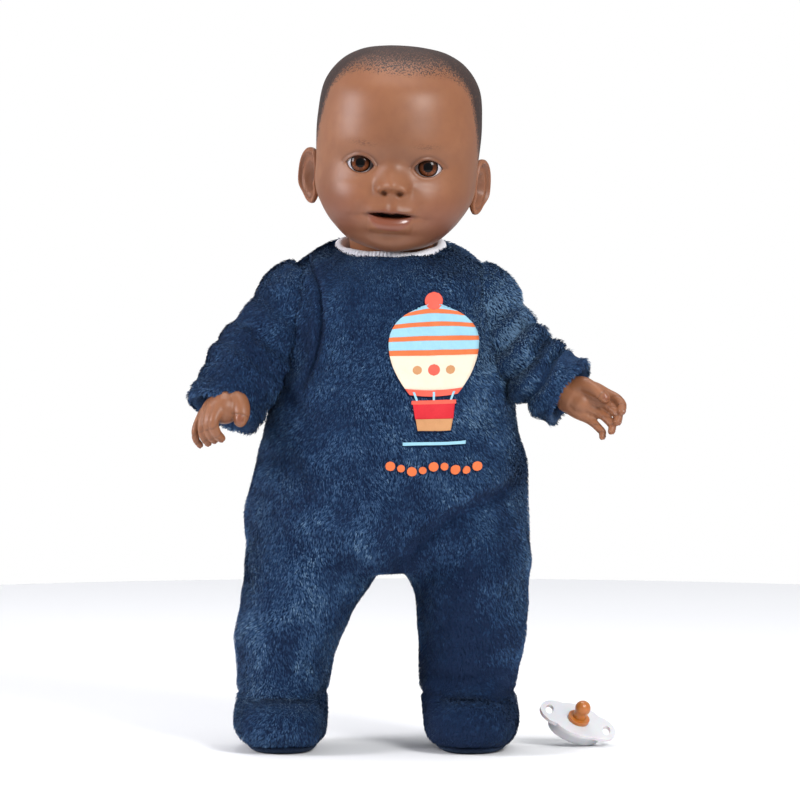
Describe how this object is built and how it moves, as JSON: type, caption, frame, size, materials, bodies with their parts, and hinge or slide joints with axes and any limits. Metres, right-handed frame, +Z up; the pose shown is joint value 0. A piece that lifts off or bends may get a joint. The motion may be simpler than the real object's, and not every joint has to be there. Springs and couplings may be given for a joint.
{
  "type": "interactive baby doll",
  "caption": "Standing soft-bodied baby doll with vinyl head and hands, a footed plush suit, a voice box in its back and a mouth switch worked by a loose pacifier.",
  "frame": {"origin": "on the floor, at the centre of the whole doll's footprint box; the doll's own middle plane is 9.5 mm to its right, at x = -9.5 mm, because its left hand reaches out further", "axes": "+Z up, the doll faces -Y, +X towards the doll's left hand"},
  "size_m": [0.2617, 0.1239, 0.4163],
  "materials": {
    "skin_vinyl": "satin soft vinyl, brown",
    "eye_white": "glossy",
    "eye_iris": "glossy printed iris",
    "eye_lens": "clear acrylic",
    "mouth_lining": "satin",
    "plush_navy": "short brushed pile",
    "plush_sole": "short brushed pile, dark",
    "collar_knit": "rib knit",
    "print_film": "flocked heat-transfer print",
    "stuffing_cloth": "woven cotton over fibre filling",
    "nylon_tie": "satin nylon",
    "case_plastic": "fine texture",
    "board": "solder mask",
    "chip_black": "satin epoxy",
    "speaker_cone": "pressed paper",
    "cell": "printed steel sleeve",
    "steel": "zinc plated",
    "lead_jacket": "satin",
    "switch_black": "satin",
    "teat_latex": "translucent amber, glossy",
    "shield_white": "milky translucent"
  },
  "bodies": {
    "root": {"cloth_body": "stuffing_cloth", "suit_front": "plush_navy", "suit_back_left": "plush_navy", "suit_back_right": "plush_navy", "back_placket": "plush_navy", "collar": "collar_knit", "chest_print": "print_film", "neck_tie": "nylon_tie", "voice_case_front": "case_plastic", "voice_case_back": "case_plastic", "battery_door": "case_plastic", "door_screw": "steel", "case_screws": "steel", "batteries": "cell", "battery_contacts": "steel", "circuit_board": "board", "board_components": "chip_black", "speaker": "speaker_cone", "chest_lead": "lead_jacket"},
    "head": {"head_shell": "skin_vinyl", "eyeball_left": "eye_white", "eyeball_right": "eye_white", "iris_left": "eye_iris", "iris_right": "eye_iris", "cornea_left": "eye_lens", "cornea_right": "eye_lens", "mouth_cup": "mouth_lining", "mouth_switch": "case_plastic", "head_lead": "lead_jacket"},
    "mouth_plunger": {"mouth_plunger": "switch_black"},
    "power_switch": {"power_switch": "switch_black"},
    "arm_right": {"forearm_right": "skin_vinyl", "upper_arm_right": "stuffing_cloth", "arm_tie_right": "nylon_tie", "sleeve_right": "plush_navy"},
    "arm_left": {"forearm_left": "skin_vinyl", "upper_arm_left": "stuffing_cloth", "arm_tie_left": "nylon_tie", "sleeve_left": "plush_navy"},
    "leg_right": {"lower_leg_right": "skin_vinyl", "thigh_right": "stuffing_cloth", "leg_tie_right": "nylon_tie", "suit_leg_right": "plush_navy", "suit_foot_right": "plush_navy", "sole_right": "plush_sole"},
    "leg_left": {"lower_leg_left": "skin_vinyl", "thigh_left": "stuffing_cloth", "leg_tie_left": "nylon_tie", "suit_leg_left": "plush_navy", "suit_foot_left": "plush_navy", "sole_left": "plush_sole"},
    "pacifier": {"pacifier_shield": "shield_white", "pacifier_teat": "teat_latex", "pacifier_cap": "shield_white"}
  },
  "joints": [
    {"name": "head_turn", "type": "hinge", "parent": "root", "child": "head", "pos_m": [-0.0095, 0.005, 0.286], "axis": [0, 0, 1], "range_deg": [-60, 60]},
    {"name": "mouth_press", "type": "slide", "parent": "head", "child": "mouth_plunger", "axis": [0.0348, 0.9994, -0.0024], "range_m": [0, 0.0025], "stiffness_N_per_m": 120, "springref_m": -0.002},
    {"name": "power_switch_slide", "type": "slide", "parent": "root", "child": "power_switch", "axis": [1, 0, 0], "range_m": [0, 0.004]},
    {"name": "shoulder_right", "type": "hinge", "parent": "root", "child": "arm_right", "pos_m": [-0.0755, 0.003, 0.27], "axis": [-1, 0, 0], "range_deg": [-45, 150]},
    {"name": "shoulder_left", "type": "hinge", "parent": "root", "child": "arm_left", "pos_m": [0.0565, 0.003, 0.27], "axis": [-1, 0, 0], "range_deg": [-45, 150]},
    {"name": "hip_right", "type": "hinge", "parent": "root", "child": "leg_right", "pos_m": [-0.0575, 0, 0.118], "axis": [-1, 0, 0], "range_deg": [-8, 85]},
    {"name": "hip_left", "type": "hinge", "parent": "root", "child": "leg_left", "pos_m": [0.0385, 0, 0.118], "axis": [-1, 0, 0], "range_deg": [-8, 85]},
    {"name": "pacifier_lift", "type": "slide", "parent": "root", "child": "pacifier", "axis": [0, 0, 1], "range_m": [0, 0.1]}
  ]
}
